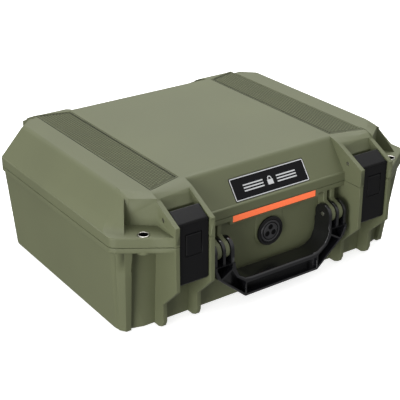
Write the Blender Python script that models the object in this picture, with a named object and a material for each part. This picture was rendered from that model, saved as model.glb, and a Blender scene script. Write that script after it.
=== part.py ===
"""Hard pistol case: foam-lined base, hinged lid, two push-button latches and a folding handle.

The script works in millimetres: X to the case's right, Y to its back, Z up from the floor it rests on.
Each named object is one physical piece. A moving piece has its origin on its own joint axis.
"""

import math

import bmesh
import bpy
from mathutils import Matrix, Vector

UNIT = 0.001
GAP = 0.3
ROUND_STEPS = 2
ROUND_SIDES = 20

# Driving sizes of the case
HEIGHT = 150.0
SPLIT_Z = 106.0
RIM_X = 197.0
RIM_Y = 148.5
TOWER_Y = 174.0
WALL = 4.0

# Base and lid body
BASE_FOOT = (184.0, 132.0)
DRAFT = 6.5
FLANGE = 6.2
BAND = 10.8
TOP_X = 168.5
TOP_Y = 120.5
CAVITY = (185.0, 133.0)
CAVITY_CUT = (37.0, 28.0)
LID_CAVITY_TOP = (165.0, 116.5)
LID_CAVITY_CUT = (12.2, 9.2)

# Towers that carry the latches in front and the hinges behind
TOWER_IN = 97.3
TOWER_OUT = 144.7
CHEEK = 5.3
FOOT_Y = 149.0
HOOD_EDGE_Z = 126.5
# Upper edges of a tower as (distance from the middle plane, z), at its inner and outer side
TOWER_KNEE = ((120.5, HEIGHT), (128.8, HEIGHT))
TOWER_RIDGE = ((134.5, 146.0), (139.0, 144.2))

# Hinge, latch, button and handle axes, as (y, z)
HINGE = (160.0, 108.0)
LATCH = (-152.0, 127.5)
BUTTON = (-168.3, 93.3)
HANDLE = (-151.0, 75.0)
HINGE_PIN_R = 2.5
LATCH_PIN_R = 2.0
BUTTON_PIN_R = 0.9
HANDLE_PIN_R = 2.5
EAR_R = 12.0
KNUCKLE_R = 10.0
LATCH_MID_X = (TOWER_IN + TOWER_OUT) / 2
LATCH_HALF = (TOWER_OUT - TOWER_IN) / 2 - CHEEK - GAP

# Padlock eyelets
EYELET_AT = (165.5, -149.0)
EYELET_R = 6.0
EYELET_BORE = 4.65

# Vent valve
VENT_Z = 68.7
VENT_R = 17.0
STEM_R = 8.5
PAD_HALF = 18.7
PAD_Y = -138.3

# Handle
PRONG_R = 12.0
PLATES = ((64.5, 69.0), (75.5, 79.2), (86.0, 90.5))
BASE_RIBS = ((69.5, 75.0), (79.7, 85.5))
GRIP_FRONT = -164.5
GRIP_BACK = -139.2

# Foam
PAD_TOP = 12.0
FOAM_TOP = 104.8
LID_FOAM_LOW = 107.0
POCKET_FLOOR = 58.0

GREEN = (0.110, 0.125, 0.070)
BLACK = (0.012, 0.012, 0.013)
FOAM_GREY = (0.030, 0.030, 0.033)


def clear_scene():
    for obj in list(bpy.data.objects):
        bpy.data.objects.remove(obj)


def material(name, color, roughness, metallic=0.0):
    made = bpy.data.materials.new(name)
    made.use_nodes = True
    shader = made.node_tree.nodes["Principled BSDF"]
    shader.inputs["Base Color"].default_value = (*color, 1.0)
    shader.inputs["Roughness"].default_value = roughness
    shader.inputs["Metallic"].default_value = metallic
    return made


def place(axis, u, v, w):
    """The point at (u, v) in an outline and w along the axis that the outline is extruded on."""
    return {"X": (w, u, v), "Y": (u, w, v), "Z": (u, v, w)}[axis]


def loft(rings):
    """Closed mesh through rings of matching points, capped at both ends."""
    bm = bmesh.new()
    rows = [[bm.verts.new(point) for point in ring] for ring in rings]
    for low, high in zip(rows, rows[1:]):
        for i in range(len(low)):
            j = (i + 1) % len(low)
            bm.faces.new((low[i], low[j], high[j], high[i]))
    bm.faces.new(rows[0][::-1])
    bm.faces.new(rows[-1])
    bmesh.ops.recalc_face_normals(bm, faces=bm.faces)
    return bm


def prism(axis, outline, low, high):
    return loft([[place(axis, u, v, w) for u, v in outline] for w in (low, high)])


def block(x, y, z):
    return prism("Z", [(x[0], y[0]), (x[1], y[0]), (x[1], y[1]), (x[0], y[1])], *z)


def arc(center, radius, start, end, steps):
    """Points on an arc, angles in degrees, both ends included."""
    angles = [math.radians(start + (end - start) * i / steps) for i in range(steps + 1)]
    return [(center[0] + radius * math.cos(a), center[1] + radius * math.sin(a)) for a in angles]


def disc(center, radius, sides=ROUND_SIDES):
    return arc(center, radius, 0, 360 * (sides - 1) / sides, sides - 1)


def rod(axis, center, radius, low, high, sides=ROUND_SIDES):
    return prism(axis, disc(center, radius, sides), low, high)


def mirrored(right):
    """A whole outline from its right half, listed front to back."""
    return right + [(-x, y) for x, y in reversed(right)]


def octagon(half, cut, grow=0.0):
    """Rectangle with cut corners, moved outwards by the same distance on all eight sides."""
    length = math.hypot(*cut)
    nx, ny = cut[1] / length, cut[0] / length
    x, y = half[0] + grow, half[1] + grow
    cut = (cut[0] + grow * (1 - (1 - ny) / nx), cut[1] + grow * (1 - (1 - nx) / ny))
    return mirrored([(x - cut[0], -y), (x, -y + cut[1]), (x, y - cut[1]), (x - cut[0], y)])


def at_height(outline, z):
    return [(x, y, z) for x, y in outline]


def soften(bm, radius, wanted=None, steps=ROUND_STEPS):
    """Rounds the corners sharper than 20 degrees whose middle point passes the test."""
    edges = []
    for edge in bm.edges:
        middle = (edge.verts[0].co + edge.verts[1].co) / 2
        if edge.calc_face_angle(0) > math.radians(20) and (wanted is None or wanted(middle)):
            edges.append(edge)
    bmesh.ops.bevel(
        bm, geom=edges, offset=radius, offset_type="OFFSET", segments=steps, profile=0.5,
        affect="EDGES", clamp_overlap=True,
    )
    return bm


def two_sided(bm):
    """Adds the mirror image across X, for features that come in pairs."""
    copy = bmesh.ops.duplicate(bm, geom=bm.verts[:] + bm.edges[:] + bm.faces[:])["geom"]
    points = [item for item in copy if isinstance(item, bmesh.types.BMVert)]
    faces = [item for item in copy if isinstance(item, bmesh.types.BMFace)]
    bmesh.ops.scale(bm, vec=(-1, 1, 1), verts=points)
    bmesh.ops.reverse_faces(bm, faces=faces)
    return bm


def to_object(bm, name):
    """Object in metres, with near-equal coordinates made equal so that flush faces stay flush."""
    for vert in bm.verts:
        vert.co = [round(value, 4) * UNIT for value in vert.co]
    mesh = bpy.data.meshes.new(name)
    bm.to_mesh(mesh)
    bm.free()
    obj = bpy.data.objects.new(name, mesh)
    bpy.context.collection.objects.link(obj)
    return obj


def combine(obj, tools, operation):
    """One Boolean against several meshes at once, kept as plain geometry."""
    if not tools:
        return
    holder = bpy.data.collections.new("tools")
    bpy.context.scene.collection.children.link(holder)
    for bm in tools:
        bmesh.ops.triangulate(bm, faces=bm.faces)
        other = to_object(bm, "tool")
        bpy.context.collection.objects.unlink(other)
        holder.objects.link(other)
    modifier = obj.modifiers.new("shape", "BOOLEAN")
    modifier.operation = operation
    modifier.solver = "EXACT"
    modifier.operand_type = "COLLECTION"
    modifier.collection = holder
    shaped = bpy.data.meshes.new_from_object(obj.evaluated_get(bpy.context.evaluated_depsgraph_get()))
    obj.modifiers.clear()
    old = obj.data
    obj.data = shaped
    bpy.data.meshes.remove(old)
    for other in list(holder.objects):
        bpy.data.objects.remove(other)
    bpy.data.collections.remove(holder)


def shape(name, body, added=(), removed=()):
    bmesh.ops.triangulate(body, faces=body.faces)
    obj = to_object(body, name)
    combine(obj, added, "UNION")
    combine(obj, removed, "DIFFERENCE")
    return obj


def finish(obj, paint, origin=(0, 0, 0), smooth=35):
    """Welds, sets the origin on the joint axis, then shades and paints the piece."""
    bm = bmesh.new()
    bm.from_mesh(obj.data)
    bmesh.ops.remove_doubles(bm, verts=bm.verts, dist=0.00002)
    bmesh.ops.dissolve_degenerate(bm, edges=bm.edges, dist=0.00001)
    bmesh.ops.dissolve_limit(
        bm, angle_limit=math.radians(0.05), verts=bm.verts, edges=bm.edges, delimit={"NORMAL"}
    )
    bm.to_mesh(obj.data)
    bm.free()
    offset = Vector(origin) * UNIT
    obj.data.transform(Matrix.Translation(-offset))
    obj.location = offset
    obj.data.shade_smooth()
    obj.data.set_sharp_from_angle(angle=math.radians(smooth))
    obj.data.materials.clear()
    obj.data.materials.append(paint)
    return obj


def plain(name, bm, paint, origin=(0, 0, 0)):
    return finish(to_object(bm, name), paint, origin)


def rim_outline():
    """Outer edge of the parting flange: padlock corners in front, cut corners behind."""
    lip_x = TOWER_OUT - 1.7
    return mirrored([
        (lip_x, -RIM_Y),
        (lip_x, -TOWER_Y + 0.5),
        (RIM_X - 1.5, -139.0),
        (RIM_X, -134.0),
        (RIM_X, 110.0),
        (RIM_X - 38.5, RIM_Y),
    ])


def cheek_ranges():
    return ((TOWER_IN, TOWER_IN + CHEEK), (TOWER_OUT - CHEEK, TOWER_OUT))


def cheeks(outline):
    """Four side plates of one tower pair, from one outline in (y, z)."""
    made = []
    for low, high in cheek_ranges():
        plate = prism("X", outline, low, high)
        soften(plate, 9.0, lambda p: p.z < 1 and abs(abs(p.y) - FOOT_Y) < 1)
        made.append(two_sided(plate))
    return made


def front_cheek():
    low_z = FOOT_Y - TOWER_Y + 55
    return [
        (-127, 0), (-FOOT_Y, 0), (-FOOT_Y, low_z), (-TOWER_Y, 55),
        (-TOWER_Y, SPLIT_Z - GAP / 2), (-127, SPLIT_Z - GAP / 2),
    ]


def rear_cheek():
    y, z = HINGE
    ear = arc((y, z), EAR_R, 0, 180, 12)
    return [
        (127, SPLIT_Z - GAP / 2), (127, 0), (FOOT_Y, 0), (FOOT_Y, 30), (TOWER_Y, 55),
        (TOWER_Y, 99), *ear, (y - EAR_R, SPLIT_Z - GAP / 2),
    ]


def base_body():
    foot_x, foot_y = BASE_FOOT
    rings = []
    for spread, z in ((0.0, 0.0), (DRAFT, 100.5)):
        x, y = foot_x + spread, foot_y + spread
        rings.append(at_height(
            mirrored([(x - 7, -y), (x, -y + 10), (x, y - 17), (x - 17, y)]), z
        ))
    body = loft(rings)
    soften(body, 6.0, lambda p: 5 < p.z < 95, ROUND_STEPS)
    return soften(body, 4.0, lambda p: p.z < 0.01, ROUND_STEPS)


def round_corners(flange, middle):
    """Rounds the upright corners of the rim that stand clear of the towers."""
    return soften(flange, 7.0, lambda p: abs(p.x) > 150 and abs(p.z - middle) < 0.5, 3)


def base_flange():
    top = SPLIT_Z - GAP / 2
    flange = round_corners(prism("Z", rim_outline(), top - FLANGE, top), top - FLANGE / 2)
    return soften(flange, 1.8, lambda p: p.z < top - FLANGE + 0.01)


def corner_post():
    """Fin under the padlock corner, which grows out of the wall towards the flange."""
    low = [(172.9, -131.9), (179.5, -131.9), (183.8, -125), (173, -118)]
    high = [(177.0, -146.0), (184.5, -144.5), (191.5, -137), (178, -118)]
    return two_sided(loft([at_height(low, 1.0), at_height(high, 100.5)]))


def corner_groove():
    """Upright hollow between the corner fin and the latch tower."""
    low = [(172.7, -126.7), (172.7, -150), (148.0, -150), (148.0, -134.6)]
    high = [(176.9, -133.0), (176.9, -160), (148.0, -160), (148.0, -141.0)]
    return two_sided(loft([at_height(low, -1.0), at_height(high, 99.0)]))


def eyelet_boss():
    """Low dome under the flange around each padlock hole."""
    low = 97.2
    boss = rod("Z", EYELET_AT, 8.4, low, SPLIT_Z - 2)
    return two_sided(soften(boss, 2.0, lambda p: p.z < low + 0.01))


def vent_pad():
    arch = arc((0, VENT_Z), PAD_HALF, 180, 360, 12)
    pad = prism("Y", [(-PAD_HALF, 101), *arch, (PAD_HALF, 101)], PAD_Y, -125)
    return soften(pad, 1.0, lambda p: p.y < PAD_Y + 0.1, 1)


def handle_rib(low, high):
    y, z = HANDLE
    outline = [(-128, 100.5), (-146.5, 100.5), (-146.5, 88.0), *arc((y, z), 11, 130, 270, 7), (-128, 66)]
    return two_sided(prism("X", outline, low, high))


def strike(side):
    """Bar across each tower: the latch hook sits under it in front, the lid rests on it behind."""
    if side < 0:
        outline = [(-156, 85), (-156, 92), (-134, 94), (-134, 85)]
    else:
        outline = [(134, 99), (148.6, 98.8), (HINGE[0], 97.3), (TOWER_Y - 0.5, 94.9),
                   (TOWER_Y - 0.5, 88), (166, 80), (134, 80)]
    return two_sided(prism("X", outline, TOWER_IN + 2, TOWER_OUT - 2))


def base_cavity():
    foot = (CAVITY[0] - 6, CAVITY[1] - 6)
    return loft([
        at_height(octagon(foot, CAVITY_CUT), WALL),
        at_height(octagon(CAVITY, CAVITY_CUT), SPLIT_Z),
        at_height(octagon(CAVITY, CAVITY_CUT), SPLIT_Z + 5),
    ])


def build_base(paint):
    added = [base_flange()]
    added += cheeks(front_cheek())
    added += cheeks(rear_cheek())
    added += [strike(-1), strike(1), vent_pad()]
    added += [handle_rib(*span) for span in BASE_RIBS]
    added.append(soften(block((-60, 60), (-RIM_Y, -130), (95.5, SPLIT_Z - GAP / 2)), 1.5,
                        lambda p: p.z < 96 and p.y < -140, 1))
    added.append(eyelet_boss())
    removed = [
        two_sided(block((TOWER_IN + CHEEK, TOWER_OUT - CHEEK), (-190, -146), (94, 120))),
        base_cavity(),
        block((-56.5, 56.5), (-160, -145.5), (97.4, 105.6)),
        rod("Y", (0, VENT_Z), STEM_R + GAP, -150, -120),
        two_sided(rod("Z", EYELET_AT, EYELET_R + GAP, 90, 110)),
        two_sided(rod("X", HANDLE, HANDLE_PIN_R + GAP, 60, 95)),
        two_sided(rod("X", HINGE, HINGE_PIN_R + GAP, 95, 147)),
    ]
    obj = shape("base_shell", base_body(), [corner_post()], [corner_groove()])
    combine(obj, added, "UNION")
    combine(obj, removed, "DIFFERENCE")
    return finish(obj, paint)


def lid_body():
    """Sloping lid, with rounded front corners brought forward at shoulder height."""
    low, shoulder, high = SPLIT_Z + BAND - 1.5, 146.0, HEIGHT
    rings = [
        mirrored([(175.8, -RIM_Y + 1), (186.0, -137.3), (191.5, -131.0), (194.6, -126.4),
                  (RIM_X - 1, -121.0), (RIM_X - 1, 110.5), (159.0, RIM_Y - 1)]),
        mirrored([(165.6, -123.6), (169.0, -121.0), (170.6, -116.5), (171.5, -110.5),
                  (171.7, -104.4), (171.7, 105.5), (153.5, 123.6)]),
        mirrored([(152.8, -TOP_Y), (166.0, -107.3), (167.2, -105.5), (168.1, -103.8),
                  (TOP_X, -102), (TOP_X, 104.8), (152.8, TOP_Y)]),
    ]
    body = loft([at_height(ring, z) for ring, z in zip(rings, (low, shoulder, high))])
    return soften(body, 4.0, lambda p: p.z > high - 0.01)


def corner_shoulder():
    """Ledge between the lid's corner and the latch tower, over the padlock hollow."""
    low = [(143.9, -100), (143.9, -146.5), (171.0, -123.0), (168.0, -100)]
    high = [(143.9, -100), (143.9, -129.4), (166.6, -106.7), (166.6, -100)]
    return two_sided(loft([at_height(low, 112.0), at_height(low, 144.5), at_height(high, HEIGHT)]))


def lid_flange():
    low = SPLIT_Z + GAP / 2
    flange = round_corners(prism("Z", rim_outline(), low, low + BAND), low + BAND / 2)
    return soften(flange, 2.4, lambda p: p.z > low + BAND - 0.01)


def padlock_corner():
    """Hollow above the padlock eyelet, square to the cut corner of the lid."""
    ledge = SPLIT_Z + GAP / 2 + BAND
    outline = [(143.5, -141.1), (169.6, -120.8), (209.0, -181.4), (209.0, -200), (143.5, -200)]
    return two_sided(prism("Z", outline, ledge, HEIGHT + 5))


def between(inner, outer, x):
    """Value at x along a tower, from its values at the tower's inner and outer side."""
    share = (x - TOWER_IN) / (TOWER_OUT - TOWER_IN)
    return tuple(a + (b - a) * share for a, b in zip(inner, outer))


def tower_section(x, reach):
    """Section of a lid tower at x as (distance from the middle plane, z), out to the reach."""
    ridge = between(*TOWER_RIDGE, x)
    slope = (ridge[1] - HOOD_EDGE_Z) / (TOWER_Y - ridge[0])
    base = SPLIT_Z + GAP / 2
    return [(112, base), (reach, base), (reach, ridge[1] - slope * (reach - ridge[0])), ridge,
            between(*TOWER_KNEE, x), (112, HEIGHT)]


def tower(low, high, reach, side):
    """Lid tower between two x values, rounded along its upper edges."""
    rows = [[(x, side * y, z) for y, z in tower_section(x, reach)] for x in (low, high)]
    bm = loft(rows)
    soften(bm, 4.0, lambda p: p.z > HEIGHT - 0.01 and abs(p.y) > 119)
    soften(bm, 2.0, lambda p: SPLIT_Z + 2 < p.z < HEIGHT - 1.5 and abs(p.y) > 128)
    return two_sided(bm)


def hood_recess():
    """Space for the latch, with a dished slope above it and the sloping shelf that stops it when open."""
    rows = []
    for x in (TOWER_IN + CHEEK, TOWER_OUT - CHEEK):
        swing = arc(LATCH, 9.5, 11.25, 32, 3)
        start, (ridge_y, ridge_z) = swing[-1], between(*TOWER_RIDGE, x)
        end = (-ridge_y, ridge_z + 0.3)
        dish = [
            (start[0] + (end[0] - start[0]) * t, start[1] + (end[1] - start[1]) * t ** 1.25)
            for t in (1 / 3, 2 / 3, 1)
        ]
        outline = [(-190, 100), (-146, 100), (-146, 124.55), *swing, *dish, (end[0], 165), (-190, 165)]
        rows.append([(x, y, z) for y, z in outline])
    return two_sided(loft(rows))


def rear_hump():
    """Hinge tower on the lid, with the knuckle between the base's ears."""
    low, high = TOWER_IN + CHEEK + GAP, TOWER_OUT - CHEEK - GAP
    y, z = HINGE
    knuckle = rod("X", HINGE, KNUCKLE_R, low, high, 24)
    web = block((low, high), (118, y), (SPLIT_Z + GAP / 2, z + 8))
    back = prism("X", [(140, z), (y + KNUCKLE_R, z), (y + KNUCKLE_R, 120), (140, 120)], low, high)
    return [
        tower(TOWER_IN, TOWER_OUT, 146.0, 1), tower(low, high, y + KNUCKLE_R, 1),
        two_sided(knuckle), two_sided(web), two_sided(back),
    ]


def ear_clearance():
    """Room for the base's hinge ears, which the lid's rim swings around."""
    made = []
    for low, high in cheek_ranges():
        made.append(two_sided(rod("X", HINGE, EAR_R + 0.6, low - GAP - 0.2, high + GAP, 32)))
    return made


def lid_cavity():
    front = octagon(CAVITY, CAVITY_CUT)
    top = octagon(LID_CAVITY_TOP, LID_CAVITY_CUT)
    return loft([at_height(front, SPLIT_Z - 1), at_height(front, 113), at_height(top, HEIGHT - WALL)])


def ring_band(inner, outer, z):
    """Band around the rim between two distances from the cavity's edge."""
    spans = ((outer, z[0]), (outer, z[1]), (inner, z[1]), (inner, z[0]))
    rows = [at_height(octagon(CAVITY, CAVITY_CUT, by), height) for by, height in spans]
    bm = bmesh.new()
    points = [[bm.verts.new(p) for p in row] for row in rows]
    for a, b in zip(points, points[1:] + points[:1]):
        for i in range(len(a)):
            j = (i + 1) % len(a)
            bm.faces.new((a[i], a[j], b[j], b[i]))
    bmesh.ops.recalc_face_normals(bm, faces=bm.faces)
    return bm


def tread_recess():
    """Shallow panel on each side of the lid's top for the moulded grip tread."""
    outline = [(101.5, -115.2), (142.4, -126.8), (142.4, 126.8), (101.5, 115.2)]
    return two_sided(prism("Z", outline, HEIGHT - 0.6, HEIGHT + 4))


def plate_frame():
    """Rotation and origin of the name plate's own frame, which lies on the lid's front slope."""
    rise = Vector((0, RIM_Y - 1 - TOP_Y, HEIGHT - SPLIT_Z - 8)).normalized()
    out = Vector((1, 0, 0)).cross(rise)
    turn = Matrix((Vector((1, 0, 0)), rise, out)).transposed().to_4x4()
    share = 0.385
    low = Vector((0, -RIM_Y + 1, SPLIT_Z + 8))
    high = Vector((0, -TOP_Y, HEIGHT))
    return Matrix.Translation(low.lerp(high, share)) @ turn


def plate_block(half_x, half_rise, low, high):
    bm = block((-half_x, half_x), (-half_rise, half_rise), (low, high))
    soften(bm, 1.5, lambda p: abs(p.x) > half_x - 0.01 and abs(p.y) > half_rise - 0.01)
    bmesh.ops.transform(bm, matrix=plate_frame(), verts=bm.verts)
    return bm


def build_lid(paint):
    obj = shape("lid_shell", lid_body(), [lid_flange(), corner_shoulder()], [padlock_corner()])
    combine(obj, [tower(TOWER_IN, TOWER_OUT, TOWER_Y, -1), *rear_hump()], "UNION")
    removed = [
        hood_recess(),
        *ear_clearance(),
        lid_cavity(),
        ring_band(2.4, 7.0, (SPLIT_Z - 1, 110.2)),
        tread_recess(),
        plate_block(50.0, 13.2, -1.2, 6),
        two_sided(rod("Z", EYELET_AT, EYELET_R + GAP, 100, 125)),
        two_sided(rod("X", LATCH, LATCH_PIN_R + GAP, 95, 147, 12)),
        two_sided(rod("X", HINGE, HINGE_PIN_R + GAP, 95, 147)),
    ]
    combine(obj, removed, "DIFFERENCE")
    return finish(obj, paint, (0, *HINGE))


def latch_plate(low, high):
    skin = [(-154.4, 136.1), (-171.4, 125.8), (-171.2, 61.0), (-169.2, 58.7), (-165.5, 58.7),
            (-167.0, 64.0), (-167.2, 122.5), (-150.6, 128.4), (-147.2, 132.0)]
    bm = prism("X", skin, low, high)
    return soften(bm, 1.0, lambda p: abs(p.x - low) < 0.1 or abs(p.x - high) < 0.1, 1)


def build_latch(side, name, paint):
    low, high = LATCH_MID_X - LATCH_HALF, LATCH_MID_X + LATCH_HALF
    y, z = LATCH
    web = [(-168, 123.5), (-154, 132.5), (-149.5, 130.0), (-150.0, 124.0), (-168, 116)]
    hook = [(-168, 84.6), (-148, 84.6), (-148, 81.5), (-152, 78.5), (-168, 76.5)]
    added = [
        prism("X", web, low + 0.6, high - 0.6),
        rod("X", (y, z), 5.0, low, high),
        prism("X", hook, low + 3, high - 3),
        block((LATCH_MID_X - 12.0, LATCH_MID_X + 12.0), (-168, -157.6), (88.2, 117)),
    ]
    for edge in (low + 0.4, high - 2.9):
        added.append(block((edge, edge + 2.5), (-168, -158.2), (62, 120)))
    removed = [
        block((LATCH_MID_X - 9.6, LATCH_MID_X + 9.6), (-180, -160.2), (90.3, 115.4)),
        rod("X", LATCH, LATCH_PIN_R + GAP, 90, 150, 12),
        rod("X", BUTTON, BUTTON_PIN_R + GAP, LATCH_MID_X - 11, LATCH_MID_X + 11, 10),
    ]
    obj = shape(name, latch_plate(low, high), added, removed)
    flip(obj, side)
    return finish(obj, paint, (side * LATCH_MID_X, *LATCH))


def flip(obj, side):
    """Turns a right-hand piece into its left-hand mirror image."""
    if side < 0:
        obj.data.transform(Matrix.Scale(-1, 4, (1, 0, 0)))
        obj.data.flip_normals()


def build_button(side, name, paint):
    low, high = LATCH_MID_X - 9.2, LATCH_MID_X + 9.2
    face = [(-171.6, 90.7), (-167.0, 90.7), (-166.0, 93.3), (-167.0, 97), (-167.0, 114.2), (-171.2, 114.2)]
    bm = prism("X", face, low, high)
    soften(bm, 0.8, lambda p: p.y < -171, 1)
    obj = shape(name, bm, (), [rod("X", BUTTON, BUTTON_PIN_R + GAP, 90, 150, 10)])
    flip(obj, side)
    return finish(obj, paint, (side * LATCH_MID_X, *BUTTON))


def build_spring(side, name, paint):
    """Return spring of the button: a wire coil along Y, flat to both walls."""
    turns, per_turn, sides = 4, 10, 5
    radius, wire = 2.9, 0.45
    start, end = -166.7 + wire, -160.5 - wire
    rows = []
    for i in range(turns * per_turn + 1):
        angle = 2 * math.pi * i / per_turn
        share = i / (turns * per_turn)
        middle = Vector((radius * math.cos(angle), start + (end - start) * share, radius * math.sin(angle)))
        outward = Vector((math.cos(angle), 0, math.sin(angle)))
        row = []
        for k in range(sides):
            turn = 2 * math.pi * k / sides
            row.append(middle + outward * wire * math.cos(turn) + Vector((0, wire * math.sin(turn), 0)))
        rows.append(row)
    bm = loft(rows)
    bmesh.ops.translate(bm, vec=(side * LATCH_MID_X, 0, 106.5), verts=bm.verts)
    return plain(name, bm, paint, (side * LATCH_MID_X, -160.5, 106.5))


def handle_outline(offset=0.0):
    """Front view of the handle below its prongs, shrunk by the offset on its outer side."""
    outer = [(90.5 - offset, 61), (90.5 - offset, 57), (86.5 - offset, 46.5),
             (50 - offset * 0.4, 15 + offset), (-50 + offset * 0.4, 15 + offset),
             (-86.5 + offset, 46.5), (-90.5 + offset, 57), (-90.5 + offset, 61)]
    inner = [(-64.5, 61), (-63.2, 53), (-58, 43.5), (-50, 38), (-42, 36.5),
             (42, 36.5), (50, 38), (58, 43.5), (63.2, 53), (64.5, 61)]
    return outer + inner


def grip_channel():
    """Front channel of the grip: one long cell and two cells on each side, with thin ribs between."""
    floor_y = -151.0
    bar = block((-48.5, 48.5), (-180, floor_y), (18.0, 31.0))
    corner = [(50.3, 18.8), (80.5, 44.4), (68.2, 52.0), (62.0, 42.0), (50.3, 33.2)]
    upper = [(82.0, 45.9), (87.4, 57.2), (87.4, 60.5), (67.8, 60.5), (67.8, 54.6)]
    return [bar, two_sided(prism("Y", corner, -180, floor_y)), two_sided(prism("Y", upper, -180, floor_y))]


def build_handle(paint):
    body = prism("Y", handle_outline(), GRIP_FRONT, GRIP_BACK)
    soften(body, 7.0, lambda p: abs(p.x) < 63.5 and 36 < p.z < 54 and (p.y < -164 or p.y > -140))
    soften(body, 2.0, lambda p: p.z < 50 and (p.y < -164 or p.y > -140) and p.z < 36, 1)
    y, z = HANDLE
    added = []
    for low, high in PLATES:
        outline = [*arc((y, z), PRONG_R, 0, 180, 12), (y - PRONG_R, 58), (y + PRONG_R - 0.2, 58)]
        added.append(two_sided(prism("X", outline, low, high)))
    removed = grip_channel()
    removed.append(two_sided(rod("X", HANDLE, HANDLE_PIN_R + GAP, 60, 95)))
    obj = shape("handle", body, added, removed)
    return finish(obj, paint, (0, *HANDLE))


def ring_disc(center, bore, radius, low, high, sides=ROUND_SIDES, axis="Y"):
    """Plain washer or tube."""
    bm = bmesh.new()
    spans = [(radius, low), (radius, high), (bore, high), (bore, low)]
    rows = [[bm.verts.new(place(axis, u, v, w)) for u, v in disc(center, r, sides)] for r, w in spans]
    for a, b in zip(rows, rows[1:] + rows[:1]):
        for i in range(sides):
            j = (i + 1) % sides
            bm.faces.new((a[i], a[j], b[j], b[i]))
    bmesh.ops.recalc_face_normals(bm, faces=bm.faces)
    return bm


def build_vent(black, rubber, white):
    """Automatic pressure vent: body through the wall, seal, membrane, front cap and inside nut."""
    center = (0, VENT_Z)
    body = rod("Y", center, VENT_R, PAD_Y - 3.0, PAD_Y - GAP, 28)
    soften(body, 0.8, lambda p: p.y < PAD_Y - 2.9, 1)
    stem = rod("Y", center, STEM_R, PAD_Y - 1, -122.5)
    removed = [
        rod("Y", center, 13.0, PAD_Y - 10, PAD_Y - 1.7, 28),
        rod("Y", center, 3.0, PAD_Y - 10, -120, 12),
        ring_disc(center, 10.4, 13.0, PAD_Y - 1.0, PAD_Y + 1),
    ]
    finish(shape("vent_body", body, [stem], removed), black)
    cap = rod("Y", center, 12.7, PAD_Y - 3.1, PAD_Y - 2.2, 24)
    lobes = []
    for turn in (90, 210, 330):
        lobe_at = arc(center, 5.2, turn, turn, 1)[0]
        lobes.append(rod("Y", lobe_at, 2.9, PAD_Y - 8, PAD_Y - 2.7, 12))
    finish(shape("vent_cap", cap, (), lobes), black)
    plain("vent_membrane", rod("Y", center, 11.5, PAD_Y - 2.15, PAD_Y - 1.75, 20), white)
    plain("vent_seal", ring_disc(center, 10.7, 12.7, PAD_Y - 0.95, PAD_Y - 0.02), rubber)
    bore = rod("Y", center, STEM_R + GAP, -135, -120)
    nut = rod("Y", center, 13.5, -129.5, -124.5, 6)
    finish(shape("vent_nut", nut, (), [bore]), black)


def build_eyelets(metal):
    tops = {"base": (97.0, SPLIT_Z - 0.4), "lid": (SPLIT_Z + 0.4, SPLIT_Z + BAND + 0.6)}
    for side, word in ((-1, "left"), (1, "right")):
        for owner, (low, high) in tops.items():
            center = (side * EYELET_AT[0], EYELET_AT[1])
            tube = ring_disc(center, EYELET_BORE, EYELET_R, low, high, 16, "Z")
            origin = (0, 0, 0) if owner == "base" else (0, *HINGE)
            plain(f"{owner}_eyelet_{word}", tube, metal, origin)


def build_pins(metal):
    for side, word in ((-1, "left"), (1, "right")):
        for name, axis, radius, low, high, origin in (
            ("hinge_pin", HINGE, HINGE_PIN_R, TOWER_IN + 0.6, TOWER_OUT - 0.6, (0, 0, 0)),
            ("handle_pin", HANDLE, HANDLE_PIN_R, 64.8, 90.2, (0, 0, 0)),
            ("latch_pin", LATCH, LATCH_PIN_R, TOWER_IN + 0.4, TOWER_OUT - 0.4, (0, *HINGE)),
            ("button_pin", BUTTON, BUTTON_PIN_R, LATCH_MID_X - 10.7, LATCH_MID_X + 10.7, (0, *LATCH)),
        ):
            span = sorted((side * low, side * high))
            plain(f"{name}_{word}", rod("X", axis, radius, *span, 12), metal, origin)


def build_foam(foam):
    """Three foam pieces: a cushion in the lid, a cut-out block in the base and a sheet under it."""
    def layer(low, high):
        rings = []
        for z in (low, high):
            taper = 6.0 * (SPLIT_Z - z) / (SPLIT_Z - WALL)
            half = (CAVITY[0] - taper, CAVITY[1] - taper)
            rings.append(at_height(octagon(half, CAVITY_CUT, -GAP - 0.1), z))
        return loft(rings)

    plain("base_foam_sheet", layer(WALL + GAP, PAD_TOP), foam)
    slide = [(-122, 42), (22, 42), (22, 20), (48, 14), (66, -74), (126, -58), (108, 40), (108, 90), (-122, 90)]
    removed = [
        prism("Z", slide, POCKET_FLOOR, FOAM_TOP + 5),
        block((-134, -98), (-98, 18), (POCKET_FLOOR, FOAM_TOP + 5)),
        block((-76, -40), (-98, 18), (POCKET_FLOOR, FOAM_TOP + 5)),
        block((-17, 17), (-145, -121.5), (VENT_Z - 17, VENT_Z + 17)),
    ]
    finish(shape("base_foam", layer(PAD_TOP + GAP, FOAM_TOP), (), removed), foam)
    ring = octagon(CAVITY, CAVITY_CUT, -GAP - 0.2)
    top = octagon(LID_CAVITY_TOP, LID_CAVITY_CUT, -GAP - 0.3)
    cushion = loft([at_height(ring, LID_FOAM_LOW), at_height(ring, 112.8), at_height(top, HEIGHT - WALL - 0.5)])
    plain("lid_foam", cushion, foam, (0, *HINGE))


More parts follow.
